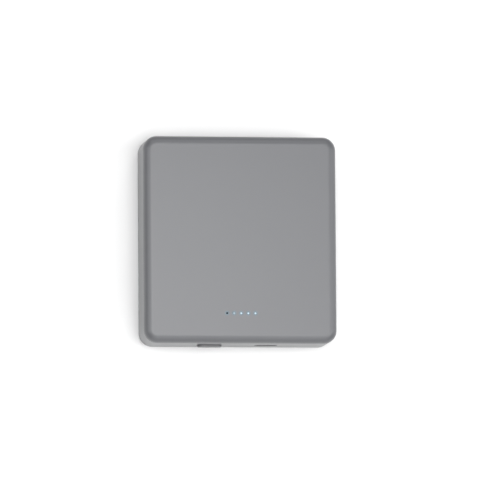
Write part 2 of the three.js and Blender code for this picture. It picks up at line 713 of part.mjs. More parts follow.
// The temperature sensor: a bead between two cells, and its flat twin lead down to the board.
function sensor() {
  const x = cellPitch;
  const high = cellHeight + sensorBead.aboveCells;
  const down = cellFront - sensorLead.fromCellFront;
  const bead = new THREE.CapsuleGeometry(sensorBead.radius, sensorBead.length, 3, 10);
  const route = [
    [x, cellFront + 3, high],
    [x, cellFront + 0.4, high],
    [x, cellFront - 1.6, high - 0.7],
    [x, down + 0.55, high - 2.6],
    [x, down + 0.1, (high + boardTop) / 2 - 0.6],
    [x, down, boardTop + 1.6],
    [x, down, boardTop + 0.2],
  ];
  const section = roundedRectangle(sensorLead.width, sensorLead.thickness, sensorLead.width / 2, 2);
  return join(
    solid(bead.translate(x, cellFront + sensorBead.fromCellFront, high)),
    solid(tubeAlong(route, section, 16)),
  );
}

// ---------------------------------------------------------------- assembly
const powerStation = new THREE.Group();

place(powerStation, "lower_shell", lowerShell(), look.case);
place(powerStation, "upper_shell", upperShell(), look.case);
const labelTop = label.recess - seat;
const labelFilm = labelPlate(label.gap, labelTop - label.thickness, labelTop);
place(powerStation, "rating_label", labelFilm, look.labelFilm);
for (const [side, name] of sides) {
  const screwTop = caseScrew.seat - seat;
  place(
    powerStation, `case_screw_${name}`, screw(caseScrew), look.steel, side * caseScrewX, caseScrewY, screwTop,
  );
}

place(powerStation, "power_button", buttonCap(), look.button, -portSpread, 0, portHeight);

const tactSwitch = groupAt(powerStation, -portSpread, tactFront, portHeight);
place(tactSwitch, "switch_housing", tactHousing(), look.black);
place(tactSwitch, "switch_cover", tactCover(), look.steel);
place(tactSwitch, "switch_plunger", plunger(), look.ledBody);
place(tactSwitch, "switch_dome", snapDome(), look.nickel, 0, domeFoot);

const socket = groupAt(powerStation, portSpread, mouth, portHeight);
place(socket, "usb_shell", usbShell(), look.steel);
place(socket, "usb_tongue", usbCore(), look.black);

const boardAssembly = groupAt(powerStation, 0, boardFront, boardTop);
place(boardAssembly, "main_board", boardPlate(), look.solderMask);

// The inductor fills the room between the front of the board and the baffle round the lights.
const baffleFront = lightsY - baffle.boreRadius - baffle.skin;
const chokeRear = baffleFront - boardFront - choke.rearGap;
const chokeSide = chokeRear - choke.frontGap;
const chokeBlock = inductor(chokeSide, choke.height);
place(boardAssembly, "power_inductor", chokeBlock, look.ferrite, choke.x, chokeRear - chokeSide / 2);

for (const [name, part] of [["charge_controller", chargeChip], ["boost_controller", boostChip]]) {
  place(boardAssembly, name, chip(part), look.black, part.x, board.depth - part.fromRearEdge);
}
const behindSocket = (mouth + usb.length - boardFront + board.depth) / 2;
place(boardAssembly, "protection_mosfet", chip(powerSwitch), look.black, portSpread, behindSocket);
sides.forEach(([side], pair) => {
  for (const i of [0, 1]) {
    const x = side * (capacitorX + i * capacitorRow.spacing);
    const name = `capacitor_${2 * pair + i + 1}`;
    place(boardAssembly, name, capacitorBlock(chipCapacitor), look.ceramic, x, capacitorRow.fromFrontEdge);
  }
});
for (const [side, name] of sides) {
  const turnedOver = screw(boardScrew).rotate([180, 0, 0]);
  const y = boardScrewY - boardFront;
  place(boardAssembly, `board_screw_${name}`, turnedOver, look.steel, side * boardScrewX, y, seat);
}
for (let i = 0; i < lights.count; i++) {
  place(boardAssembly, `led_${i + 1}`, ledBlock(), look.ledBody, lightX(i), lightsY - boardFront);
}

const lightRow = groupAt(powerStation, 0, lightsY, 0);
place(lightRow, "light_guide", lightGuide(), look.clear);
place(lightRow, "light_baffle", lightBaffle(), look.black);

const cellPack = groupAt(powerStation, 0, cellRear, cellHeight);
for (let i = 0; i < cell.count; i++) {
  place(cellPack, `cell_${i + 1}_can`, cellCan(), look.steel, cellX(i));
  place(cellPack, `cell_${i + 1}_sleeve`, cellSleeve(), look.sleeve, cellX(i));
  place(cellPack, `cell_${i + 1}_cap`, cellCap(), look.nickel, cellX(i));
}

place(powerStation, "positive_strip", cellStrip(-1, stripFront, stripFront + strip.thickness), look.nickel);
place(powerStation, "negative_strip", cellStrip(1, stripRear, stripRear + strip.thickness), look.nickel);
place(powerStation, "front_insulator", insulator(sheetFront, sheetFront + sheet.thickness), look.paper);
place(powerStation, "rear_insulator", insulator(sheetRear, sheetRear + sheet.thickness), look.paper);

const packMiddle = (cellFront + cellRear) / 2;
const upperPadLow = ceiling - pad.upper - pad.gap;
place(powerStation, "lower_foam_pad", foamPad(pad.lower), look.foam, 0, packMiddle, wall);
place(powerStation, "upper_foam_pad", foamPad(pad.upper), look.foam, 0, packMiddle, upperPadLow);

const leadSection = roundedRectangle(2 * lead.radius, 2 * lead.radius, lead.radius, 2);
const behindBoard = boardRear + lead.fromBoard;
const negativeRoute = leadRoute(1, [behindBoard, behindBoard + 6, packMiddle, cellRear - lead.endGap]);
const positiveRoute = leadRoute(-1, [stripFront - 1, stripFront - lead.endGap]);
place(powerStation, "negative_lead", tubeAlong(negativeRoute, leadSection, 30), look.blackLead);
place(powerStation, "positive_lead", tubeAlong(positiveRoute, leadSection, 16), look.redLead);
place(powerStation, "temperature_sensor", sensor(), look.sensor);

export default powerStation;
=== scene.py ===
import json
import math

import bmesh
import bpy
from mathutils import Matrix, Vector


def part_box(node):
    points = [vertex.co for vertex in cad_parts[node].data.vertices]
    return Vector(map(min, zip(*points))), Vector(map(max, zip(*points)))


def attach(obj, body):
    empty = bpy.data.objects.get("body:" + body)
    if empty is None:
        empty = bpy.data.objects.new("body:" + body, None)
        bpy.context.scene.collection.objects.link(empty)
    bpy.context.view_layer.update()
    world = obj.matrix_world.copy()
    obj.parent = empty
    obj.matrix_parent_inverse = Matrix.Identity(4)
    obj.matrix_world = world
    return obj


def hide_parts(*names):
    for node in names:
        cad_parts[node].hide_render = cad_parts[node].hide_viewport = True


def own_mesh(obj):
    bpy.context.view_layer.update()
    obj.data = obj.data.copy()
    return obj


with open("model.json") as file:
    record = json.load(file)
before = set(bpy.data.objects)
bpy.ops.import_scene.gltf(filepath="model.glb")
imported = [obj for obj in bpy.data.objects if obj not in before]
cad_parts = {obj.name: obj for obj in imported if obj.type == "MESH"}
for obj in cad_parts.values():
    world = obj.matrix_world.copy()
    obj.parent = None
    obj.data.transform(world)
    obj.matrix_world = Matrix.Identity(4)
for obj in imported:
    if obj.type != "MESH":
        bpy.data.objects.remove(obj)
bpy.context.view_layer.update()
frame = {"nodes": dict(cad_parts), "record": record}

MM = 0.001


def middle_of(node):
    low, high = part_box(node)
    return (low + high) / 2


# ------------------------------------------------------------------ sizes read from the frame
LID_LOW, LID_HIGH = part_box("upper_shell")
TUB_LOW, TUB_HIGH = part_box("lower_shell")
WIDTH = LID_HIGH.x - LID_LOW.x
LENGTH = LID_HIGH.y - LID_LOW.y
HEIGHT = LID_HIGH.z
RIM = TUB_HIGH.z
FRONT = TUB_LOW.y
LIGHT_COUNT = 5
LIGHT_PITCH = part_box("led_2")[0].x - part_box("led_1")[0].x
LIGHTS_Y = middle_of("led_1").y
PORT_LOW, PORT_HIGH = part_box("usb_shell")
PORT_X = (PORT_LOW.x + PORT_HIGH.x) / 2
PORT_WIDTH = PORT_HIGH.x - PORT_LOW.x
PORT_TALL = 3.26 * MM
PORT_Z = PORT_HIGH.z - PORT_TALL / 2

SCREW = middle_of("case_screw_right")
STUD = middle_of("board_screw_right")
SENSOR_X = middle_of("temperature_sensor").x
BOARD_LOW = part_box("main_board")[0]

# ------------------------------------------------------------------ sizes of the mouldings
WALL = 2.0 * MM
CORNER = 5.4 * MM
EDGE = 3.3 * MM
SEAM = 0.3 * MM
SKIN = 1.0 * MM
LIP_GAP = 0.1 * MM
LIP_POCKET = 2.1 * MM
SOFTENED = 0.12 * MM
PLAN_STEPS = 20
EDGE_STEPS = 16
SHADOW_GAP = 0.42 * MM  # rounding of the lower shell's rim, below the lid
LID_LOW_LIP = RIM - LIP_POCKET + LIP_GAP
PORT_GAP = 0.3 * MM
PORT_LEAD_IN = 0.22 * MM
CAP_WIDTH = 10 * MM
CAP_TALL = 4.2 * MM
CAP_GAP = 0.35 * MM
CAP_LEAD_IN = 0.18 * MM
PIN_HOLE = 0.4 * MM
TIP = 0.35 * MM
RIB = 0.8 * MM
RIB_GAP = 0.15 * MM
STOP_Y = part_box("front_insulator")[0].y - RIB_GAP - RIB
STOP_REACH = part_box("cell_4_sleeve")[1].x - 6 * MM
REAR_RIB_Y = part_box("rear_insulator")[1].y + RIB_GAP

# Radii and levels of the bosses and their bores.
LID_BOSS, LID_PILOT, LID_PILOT_TOP = 2.4 * MM, 1.05 * MM, 13.6 * MM
SCREW_BOSS, SCREW_BOSS_TOP = 2.85 * MM, 4.2 * MM
SCREW_BORE, HEAD_BORE, HEAD_DEPTH = 1.15 * MM, 2.15 * MM, 2.8 * MM
STUD_BOSS, STUD_PILOT, STUD_PILOT_LOW = 2.3 * MM, 0.95 * MM, 4.3 * MM


# ------------------------------------------------------------------ node trees
def put(tree, kind, inputs=None, **settings):
    """Adds a node. A socket in `inputs` is linked, and any other value is set."""
    made = tree.nodes.new(kind)
    for name, value in settings.items():
        setattr(made, name, value)
    for key, value in (inputs or {}).items():
        if isinstance(value, bpy.types.NodeSocket):
            tree.links.new(value, made.inputs[key])
        else:
            made.inputs[key].default_value = value
    return made


def new_group(name, kind, inputs, outputs):
    """An empty node group with named sockets, and its two end nodes."""
    tree = bpy.data.node_groups.new(name, kind)
    for label, (socket, value) in inputs.items():
        made = tree.interface.new_socket(label, in_out="INPUT", socket_type="NodeSocket" + socket)
        if value is not None:
            made.default_value = value
    for label, socket in outputs.items():
        tree.interface.new_socket(label, in_out="OUTPUT", socket_type="NodeSocket" + socket)
    return tree, tree.nodes.new("NodeGroupInput").outputs, tree.nodes.new("NodeGroupOutput")


def swept_wall_tree():
    """A section swept round a rounded rectangle, with its two ends filled where it starts on the path."""
    tree, given, result = new_group(
        "swept_wall",
        "GeometryNodeTree",
        {
            "Section": ("Geometry", None),
            "Path Width": ("Float", 0.05),
            "Path Length": ("Float", 0.05),
            "Path Corner": ("Float", 0.002),
            "Corner Steps": ("Int", PLAN_STEPS),
            "Filled": ("Bool", True),
            "First End": ("Float", 0.0),
            "Last End": ("Float", 0.0),
            "Turn": ("Rotation", None),
            "Place": ("Vector", (0, 0, 0)),
            "Material": ("Material", None),
        },
        {"Geometry": "Geometry"},
    )
    outline = put(
        tree,
        "GeometryNodeCurvePrimitiveQuadrilateral",
        {"Width": given["Path Width"], "Height": given["Path Length"]},
    )
    rounded = put(
        tree,
        "GeometryNodeFilletCurve",
        {"Curve": outline.outputs[0], "Radius": given["Path Corner"], "Count": given["Corner Steps"]},
        mode="POLY",
    )
    path = put(tree, "GeometryNodeSetCurveNormal", {"Curve": rounded.outputs[0]}, mode="Z_UP")
    line = put(tree, "GeometryNodeMeshToCurve", {"Mesh": given["Section"]})
    rounding = put(tree, "GeometryNodeInputNamedAttribute", {"Name": "rounding"}, data_type="FLOAT")
    steps = put(tree, "GeometryNodeInputNamedAttribute", {"Name": "steps"}, data_type="INT")
    section = put(
        tree,
        "GeometryNodeFilletCurve",
        {"Curve": line.outputs[0], "Radius": rounding.outputs[0], "Count": steps.outputs[0]},
        mode="POLY",
    )
    wall = put(
        tree,
        "GeometryNodeCurveToMesh",
        {"Curve": path.outputs[0], "Profile Curve": section.outputs[0]},
    )
    face = put(tree, "GeometryNodeFillCurve", {"Curve": path.outputs[0]}, mode="NGONS")
    ends = []
    for label in ("First End", "Last End"):
        lift = put(tree, "ShaderNodeCombineXYZ", {"Z": given[label]})
        ends.append(
            put(tree, "GeometryNodeTransform", {"Geometry": face.outputs[0], "Translation": lift.outputs[0]})
        )
    both = put(tree, "GeometryNodeJoinGeometry")
    for end in ends:
        tree.links.new(end.outputs[0], both.inputs[0])
    chosen = put(
        tree,
        "GeometryNodeSwitch",
        {"Switch": given["Filled"], "True": both.outputs[0]},
        input_type="GEOMETRY",
    )
    whole = put(tree, "GeometryNodeJoinGeometry")
    tree.links.new(wall.outputs[0], whole.inputs[0])
    tree.links.new(chosen.outputs[0], whole.inputs[0])
    closed = put(tree, "GeometryNodeMergeByDistance", {"Geometry": whole.outputs[0], "Distance": 1e-6})
    placed = put(
        tree,
        "GeometryNodeTransform",
        {"Geometry": closed.outputs[0], "Rotation": given["Turn"], "Translation": given["Place"]},
    )
    real = put(tree, "GeometryNodeRealizeInstances", {"Geometry": placed.outputs[0]})
    painted = put(
        tree,
        "GeometryNodeSetMaterial",
        {"Geometry": real.outputs[0], "Material": given["Material"]},
    )
    tree.links.new(painted.outputs[0], result.inputs[0])
    return tree


def row_tree():
    """The object's own shape, repeated along a straight row that is centred on its place."""
    tree, given, result = new_group(
        "row",
        "GeometryNodeTree",
        {
            "Shape": ("Geometry", None),
            "Count": ("Int", 5),
            "Spacing": ("Vector", (0.003, 0, 0)),
            "Place": ("Vector", (0, 0, 0)),
            "Material": ("Material", None),
        },
        {"Geometry": "Geometry"},
    )
    gaps = put(tree, "ShaderNodeMath", {0: given["Count"], 1: 1.0}, operation="SUBTRACT")
    half = put(tree, "ShaderNodeMath", {0: gaps.outputs[0], 1: -0.5}, operation="MULTIPLY")
    span = {0: given["Spacing"], "Scale": half.outputs[0]}
    back = put(tree, "ShaderNodeVectorMath", span, operation="SCALE")
    start = put(
        tree,
        "ShaderNodeVectorMath",
        {0: given["Place"], 1: back.outputs[0]},
        operation="ADD",
    )
    line = put(
        tree,
        "GeometryNodeMeshLine",
        {"Count": given["Count"], "Start Location": start.outputs[0], "Offset": given["Spacing"]},
    )
    copies = put(
        tree,
        "GeometryNodeInstanceOnPoints",
        {"Points": line.outputs[0], "Instance": given["Shape"]},
    )
    real = put(tree, "GeometryNodeRealizeInstances", {"Geometry": copies.outputs[0]})
    painted = put(
        tree,
        "GeometryNodeSetMaterial",
        {"Geometry": real.outputs[0], "Material": given["Material"]},
    )
    tree.links.new(painted.outputs[0], result.inputs[0])
    return tree


SWEPT_WALL = swept_wall_tree()
ROW = row_tree()


# ------------------------------------------------------------------ mesh helpers
def new_piece(name, points, edges=(), faces=()):
    mesh = bpy.data.meshes.new(name)
    mesh.from_pydata([tuple(p) for p in points], list(edges), list(faces))
    piece = bpy.data.objects.new(name, mesh)
    bpy.context.scene.collection.objects.link(piece)
    return piece


def settle(piece):
    """Turns the piece's modifiers into a plain mesh."""
    graph = bpy.context.evaluated_depsgraph_get()
    mesh = bpy.data.meshes.new_from_object(piece.evaluated_get(graph), depsgraph=graph)
    piece.modifiers.clear()
    piece.data = mesh
    piece.data.name = piece.name
    return piece


def grow(piece, tree, **inputs):
    """Runs a geometry node tree on the piece with the inputs that are named, and keeps the result."""
    tool = piece.modifiers.new(tree.name, "NODES")
    tool.node_group = tree
    keys = {
        item.name: item.identifier
        for item in tree.interface.items_tree
        if item.item_type == "SOCKET" and item.in_out == "INPUT"
    }
    for name, value in inputs.items():
        tool[keys[name.replace("_", " ")]] = value
    return settle(piece)


def face_out(piece):
    """Joins doubled points and turns the faces outwards."""
    work = bmesh.new()
    work.from_mesh(piece.data)
    bmesh.ops.remove_doubles(work, verts=work.verts, dist=2e-7)
    bmesh.ops.recalc_face_normals(work, faces=work.faces)
    work.to_mesh(piece.data)
    work.free()


def close_up(piece, sharp=math.radians(32)):
    """Turns the faces outwards, and smooths all but the sharp edges."""
    face_out(piece)
    piece.data.shade_smooth()
    piece.data.set_sharp_from_angle(angle=sharp)
    even = piece.modifiers.new("even", "WEIGHTED_NORMAL")
    even.keep_sharp = True
    even.weight = 90
    return settle(piece)


def carve(piece, *tools, operation="DIFFERENCE"):
    """Cuts the tools out of the piece, or joins them to it. The tools are used up."""
    face_out(piece)
    for tool in tools:
        face_out(tool)
        step = piece.modifiers.new("carve", "BOOLEAN")
        step.operation = operation
        step.solver = "EXACT"
        step.object = tool
    settle(piece)
    for tool in tools:
        bpy.data.objects.remove(tool)
    return piece


def join_to(piece, *others):
    return carve(piece, *others, operation="UNION")


def section_line(name, points):
    """A section as [outwards, along, rounding, steps] points, joined one to the next.

    The sweep turns the section's second axis downwards, so it is laid out upside down here.
    """
    piece = new_piece(
        name,
        [(out, -along, 0) for out, along, _, _ in points],
        [(i, i + 1) for i in range(len(points) - 1)],
    )
    rounding = piece.data.attributes.new("rounding", "FLOAT", "POINT")
    rounding.data.foreach_set("value", [p[2] for p in points])
    steps = piece.data.attributes.new("steps", "INT", "POINT")
    steps.data.foreach_set("value", [max(1, p[3]) for p in points])
    return piece


FACING_FRONT = (math.radians(90), 0, 0)


def swept(
    name, points, width, length, corner, place=(0, 0, 0), turn=(0, 0, 0), steps=PLAN_STEPS, filled=True
):
    """A piece whose section goes round a rounded rectangle of that width, length and corner."""
    return grow(
        section_line(name, points),
        SWEPT_WALL,
        Path_Width=width,
        Path_Length=length,
        Path_Corner=corner,
        Corner_Steps=steps,
        Filled=filled,
        First_End=points[0][1],
        Last_End=points[-1][1],
        Turn=turn,
        Place=place,
    )


def turned(name, profile, place=(0, 0, 0), sides=32):
    """A profile of (radius, height) points turned about an upright axis. It starts and ends on the axis."""
    points, rings = [], []
    for radius, height in profile:
        if radius < 1e-9:
            rings.append([len(points)])
            points.append((0, 0, height))
            continue
        rings.append(list(range(len(points), len(points) + sides)))
        for i in range(sides):
            angle = 2 * math.pi * i / sides
            points.append((radius * math.cos(angle), radius * math.sin(angle), height))
    faces = []
    for low, high in zip(rings, rings[1:]):
        for i in range(sides):
            j = (i + 1) % sides
            corners = [low[i % len(low)], low[j % len(low)], high[j % len(high)], high[i % len(high)]]
            faces.append(list(dict.fromkeys(corners)))
    piece = new_piece(name, [Vector(p) + Vector(place) for p in points], faces=faces)
    return piece


def block(name, low, high):
    corners = [(x, y, z) for x in (low[0], high[0]) for y in (low[1], high[1]) for z in (low[2], high[2])]
    sides = [(0, 1, 3, 2), (4, 6, 7, 5), (0, 4, 5, 1), (2, 3, 7, 6), (0, 2, 6, 4), (1, 5, 7, 3)]
    return new_piece(name, corners, faces=sides)



# ------------------------------------------------------------------ shader groups
def noise(tree, place, scale, detail=2.0, roughness=0.5):
    made = put(
        tree,
        "ShaderNodeTexNoise",
        {"Vector": place, "Scale": scale, "Detail": detail, "Roughness": roughness},
    )
    return made.outputs["Fac"]


def spread(tree, value, low, high, start=0.0, stop=1.0):
    """Maps a value from start..stop onto low..high."""
    made = put(
        tree,
        "ShaderNodeMapRange",
        {"Value": value, "From Min": start, "From Max": stop, "To Min": low, "To Max": high},
    )
    return made.outputs[0]


def mixed(tree, amount, first, second, blend="MIX"):
    made = put(tree, "ShaderNodeMix", {0: amount, 6: first, 7: second}, data_type="RGBA", blend_type=blend)
    return made.outputs[2]


def maths(tree, operation, first, second=0.0):
    return put(tree, "ShaderNodeMath", {0: first, 1: second}, operation=operation).outputs[0]


def grain_group():
    """A moulded or cast surface: fine grain in height, and slow clouds in colour and roughness."""
    tree, given, result = new_group(
        "grain",
        "ShaderNodeTree",
        {
            "Colour": ("Color", (0.5, 0.5, 0.5, 1)),
            "Variation": ("Float", 0.03),
            "Roughness": ("Float", 0.5),
            "Roughness Spread": ("Float", 0.08),
            "Grain Scale": ("Float", 3500.0),
            "Cloud Scale": ("Float", 60.0),
        },
        {"Colour": "Color", "Roughness": "Float", "Height": "Float"},
    )
    place = put(tree, "ShaderNodeTexCoord").outputs["Object"]
    fine = noise(tree, place, given["Grain Scale"], 3.0, 0.6)
    clouds = noise(tree, place, given["Cloud Scale"], 4.0, 0.55)
    pits = put(tree, "ShaderNodeTexVoronoi", {"Vector": place, "Scale": given["Grain Scale"]}).outputs[0]
    shade = maths(tree, "ADD", maths(tree, "MULTIPLY", clouds, 0.7), maths(tree, "MULTIPLY", fine, 0.3))
    swing = maths(tree, "MULTIPLY", maths(tree, "SUBTRACT", shade, 0.5), given["Variation"])
    level = maths(tree, "ADD", 1.0, maths(tree, "MULTIPLY", swing, 4.0))
    colour = put(tree, "ShaderNodeVectorMath", {0: given["Colour"], "Scale": level}, operation="SCALE")
    offset = maths(tree, "MULTIPLY", maths(tree, "SUBTRACT", clouds, 0.5), given["Roughness Spread"])
    tree.links.new(colour.outputs[0], result.inputs["Colour"])
    tree.links.new(maths(tree, "ADD", given["Roughness"], offset), result.inputs["Roughness"])
    tree.links.new(maths(tree, "ADD", fine, maths(tree, "MULTIPLY", pits, 0.35)), result.inputs["Height"])
    return tree


def edge_mask_group():
    """A mask that is 1 along a box's edges, where hands polish a case, and 0 on its faces. It also paints
    the edges paler, partly as wear and partly as a painted highlight.
    """
    tree, given, result = new_group(
        "edge_mask",
        "ShaderNodeTree",
        {"Half Size": ("Vector", (1, 1, 1)), "Middle": ("Vector", (0, 0, 0)), "Reach": ("Float", 0.002)},
        {"Mask": "Float"},
    )
    place = put(tree, "ShaderNodeTexCoord").outputs["Object"]
    local = put(tree, "ShaderNodeVectorMath", {0: place, 1: given["Middle"]}, operation="SUBTRACT")
    size = put(tree, "ShaderNodeVectorMath", {0: local.outputs[0]}, operation="ABSOLUTE")
    sides = {0: size.outputs[0], 1: given["Half Size"]}
    depth = put(tree, "ShaderNodeVectorMath", sides, operation="SUBTRACT")
    axes = put(tree, "ShaderNodeSeparateXYZ", {0: depth.outputs[0]})
    near = [
        spread(tree, maths(tree, "DIVIDE", axes.outputs[i], given["Reach"]), 0.0, 1.0, -1.0, 0.0)
        for i in range(3)
    ]
    pairs = [maths(tree, "MULTIPLY", near[i], near[(i + 1) % 3]) for i in range(3)]
    edge = maths(tree, "MAXIMUM", maths(tree, "MAXIMUM", pairs[0], pairs[1]), pairs[2])
    broken = spread(tree, noise(tree, place, 450.0, 3.0), 0.4, 1.0, 0.35, 0.65)
    tree.links.new(maths(tree, "MULTIPLY", edge, broken), result.inputs["Mask"])
    return tree


def drawn_group():
    """Fine lines left by drawing or rolling, along one axis, as a mask and a height."""
    tree, given, result = new_group(
        "drawn_lines",
        "ShaderNodeTree",
        {"Stretch": ("Vector", (1, 1, 1)), "Scale": ("Float", 2000.0)},
        {"Lines": "Float", "Stains": "Float"},
    )
    place = put(tree, "ShaderNodeTexCoord").outputs["Object"]
    pulled = put(tree, "ShaderNodeVectorMath", {0: place, 1: given["Stretch"]}, operation="MULTIPLY")
    tree.links.new(noise(tree, pulled.outputs[0], given["Scale"], 4.0, 0.7), result.inputs["Lines"])
    tree.links.new(noise(tree, place, 180.0, 3.0, 0.6), result.inputs["Stains"])
    return tree


def spill_group():
    """A soft ring round every pin hole, where light leaks into the plastic."""
    tree, given, result = new_group(
        "light_spill",
        "ShaderNodeTree",
        {
            "Middle": ("Vector", (0, 0, 0)),
            "Pitch": ("Float", 0.003),
            "Reach": ("Float", 0.0014),
            "Last Place": ("Float", 2.0),
        },
        {"Mask": "Float"},
    )
    place = put(tree, "ShaderNodeTexCoord").outputs["Object"]
    local = put(tree, "ShaderNodeVectorMath", {0: place, 1: given["Middle"]}, operation="SUBTRACT")
    axes = put(tree, "ShaderNodeSeparateXYZ", {0: local.outputs[0]}).outputs
    counted = maths(tree, "DIVIDE", axes[0], given["Pitch"])
    nearest = maths(tree, "ROUND", counted)
    first = maths(tree, "MULTIPLY", given["Last Place"], -1.0)
    kept = maths(tree, "MINIMUM", maths(tree, "MAXIMUM", nearest, first), given["Last Place"])
    beside = maths(tree, "MULTIPLY", maths(tree, "SUBTRACT", counted, kept), given["Pitch"])
    flat = put(tree, "ShaderNodeCombineXYZ", {0: beside, 1: axes[1], 2: axes[2]})
    distance = put(tree, "ShaderNodeVectorMath", {0: flat.outputs[0]}, operation="LENGTH").outputs["Value"]
    fade = spread(tree, maths(tree, "DIVIDE", distance, given["Reach"]), 1.0, 0.0, 0.3, 1.0)
    tree.links.new(maths(tree, "MULTIPLY", fade, fade), result.inputs["Mask"])
    return tree


GRAIN = grain_group()
SPILL = spill_group()
EDGE_MASK = edge_mask_group()
DRAWN = drawn_group()


# ------------------------------------------------------------------ materials
def rgb(hexes):
    """A paint-chart colour such as "96979a" as linear red, green, blue and alpha."""
    values = [int(hexes[i : i + 2], 16) / 255 for i in (0, 2, 4)]
    return (*[v / 12.92 if v <= 0.04045 else ((v + 0.055) / 1.055) ** 2.4 for v in values], 1.0)


def new_material(name, **settings):
    """A material with its node tree and its Principled shader, whose uniform values are set here."""
    material = bpy.data.materials.new(name)
    material.use_nodes = True
    tree = material.node_tree
    shader = tree.nodes["Principled BSDF"]
    for label, value in settings.items():
        shader.inputs[label.replace("_", " ")].default_value = value
    return material, tree, shader


def placed_group(tree, group, **values):
    made = put(tree, "ShaderNodeGroup", node_tree=group)
    for label, value in values.items():
        socket = made.inputs[label.replace("_", " ")]
        if isinstance(value, bpy.types.NodeSocket):
            tree.links.new(value, socket)
        else:
            socket.default_value = value
    return made.outputs


def base_grain(tree, hexes, variation, roughness, clouds):
    """The grain of a surface of that colour and roughness, with clouds of that scale."""
    settings = {"Variation": variation, "Roughness": roughness, "Cloud_Scale": clouds}
    return placed_group(tree, GRAIN, Colour=rgb(hexes), **settings)


def bump(tree, shader, height, depth):
    made = put(tree, "ShaderNodeBump", {"Height": height, "Distance": depth})
    tree.links.new(made.outputs[0], shader.inputs["Normal"])


def grained(name, hexes, roughness, depth=0.01 * MM, metallic=0.0, extra=None, **grain):
    """A grained material. `extra` holds any further uniform values of the shader."""
    material, tree, shader = new_material(name, Metallic=metallic, **(extra or {}))
    surface = placed_group(tree, GRAIN, Colour=rgb(hexes), Roughness=roughness, **grain)
    tree.links.new(surface["Colour"], shader.inputs["Base Color"])
    tree.links.new(surface["Roughness"], shader.inputs["Roughness"])
    bump(tree, shader, surface["Height"], depth)
    return material


def handled_plastic(name, hexes, pale_edge, roughness, half, middle, reach, painted_light_shade=None):
    """Satin moulded plastic with a fine texture, a little smoother along its edges where it is handled, and
    paler there, partly as wear and partly as a painted highlight.

    The last argument takes the node tree and the colour, and gives the colour with painted light and painted
    shade added.
    """
    material, tree, shader = new_material(name, IOR=1.47, Specular_IOR_Level=0.5)
    surface = placed_group(
        tree,
        GRAIN,
        Colour=rgb(hexes),
        Variation=0.012,
        Roughness=roughness,
        Roughness_Spread=0.03,
        Grain_Scale=4200.0,
        Cloud_Scale=38.0,
    )
    edges = placed_group(tree, EDGE_MASK, Half_Size=half, Middle=middle, Reach=reach)["Mask"]
    faint = maths(tree, "MULTIPLY", edges, 0.35)
    # paler edges: partly wear, partly a painted highlight
    colour = mixed(tree, faint, surface["Colour"], rgb(pale_edge))
    # painted light and painted shade are added to the colour last
    tree.links.new(painted_light_shade(tree, colour) if painted_light_shade else colour, shader.inputs["Base Color"])
    polish = maths(tree, "SUBTRACT", surface["Roughness"], maths(tree, "MULTIPLY", edges, 0.02))
    tree.links.new(polish, shader.inputs["Roughness"])
    bump(tree, shader, surface["Height"], 0.003 * MM)
    return material


def metal(name, hexes, stained, roughness, stretch, depth=0.004 * MM):
    """Plated or rolled metal with drawn lines and faint stains."""
    material, tree, shader = new_material(name, Metallic=1.0)
    surface = placed_group(tree, DRAWN, Stretch=stretch, Scale=2600.0)
    stains = spread(tree, surface["Stains"], 0.0, 0.6, 0.45, 0.75)
    tree.links.new(mixed(tree, stains, rgb(hexes), rgb(stained)), shader.inputs["Base Color"])
    tree.links.new(
        spread(tree, surface["Lines"], roughness - 0.08, roughness + 0.12),
        shader.inputs["Roughness"],
    )
    bump(tree, shader, surface["Lines"], depth)
    return material


def solder_mask():
    """Green board lacquer over copper tracks, with bare tinned spots."""
    material, tree, shader = new_material("solder_mask", Coat_Weight=0.4, Coat_Roughness=0.15)
    place = put(tree, "ShaderNodeTexCoord").outputs["Object"]
    flat = put(tree, "ShaderNodeVectorMath", {0: place, 1: (1, 1, 0)}, operation="MULTIPLY").outputs[0]
    cells = put(
        tree,
        "ShaderNodeTexVoronoi",
        {"Vector": flat, "Scale": 420.0},
        feature="DISTANCE_TO_EDGE",
        distance="EUCLIDEAN",
    ).outputs["Distance"]
    tracks = spread(tree, cells, 1.0, 0.0, 0.05, 0.09)
    vias = put(tree, "ShaderNodeTexVoronoi", {"Vector": flat, "Scale": 300.0, "Randomness": 0.7}).outputs[0]
    spots = spread(tree, vias, 1.0, 0.0, 0.07, 0.1)
    surface = base_grain(tree, "16492f", 0.05, 0.35, 90.0)
    copper = mixed(tree, tracks, surface["Colour"], rgb("1f6a43"))
    tree.links.new(mixed(tree, spots, copper, rgb("b9b6a6")), shader.inputs["Base Color"])
    tree.links.new(maths(tree, "MULTIPLY", spots, 0.9), shader.inputs["Metallic"])
    tree.links.new(surface["Roughness"], shader.inputs["Roughness"])
    bump(tree, shader, maths(tree, "ADD", tracks, spots), 0.02 * MM)
    return material


def cell_film():
    """Shrunk sleeve: blue film with faint wrinkles round the cell."""
    material, tree, shader = new_material("cell_film", Coat_Weight=0.5, Coat_Roughness=0.12)
    surface = base_grain(tree, "2c6fae", 0.03, 0.3, 70.0)
    wrinkles = placed_group(tree, DRAWN, Stretch=(1.0, 0.12, 1.0), Scale=900.0)["Lines"]
    tree.links.new(surface["Colour"], shader.inputs["Base Color"])
    tree.links.new(surface["Roughness"], shader.inputs["Roughness"])
    bump(tree, shader, maths(tree, "ADD", wrinkles, surface["Height"]), 0.015 * MM)
    return material


def insulating_paper():
    """Pressed fibre sheet with short fibres and specks."""
    material, tree, shader = new_material("insulating_paper", Sheen_Weight=0.15)
    fibres = placed_group(tree, DRAWN, Stretch=(0.25, 1.0, 1.0), Scale=2200.0)
    surface = base_grain(tree, "9fb3a6", 0.08, 0.85, 300.0)
    tone = spread(tree, fibres["Lines"], 0.0, 0.35, 0.45, 0.7)
    tree.links.new(mixed(tree, tone, surface["Colour"], rgb("7f9186")), shader.inputs["Base Color"])
    tree.links.new(surface["Roughness"], shader.inputs["Roughness"])
    bump(tree, shader, fibres["Lines"], 0.03 * MM)
    return material


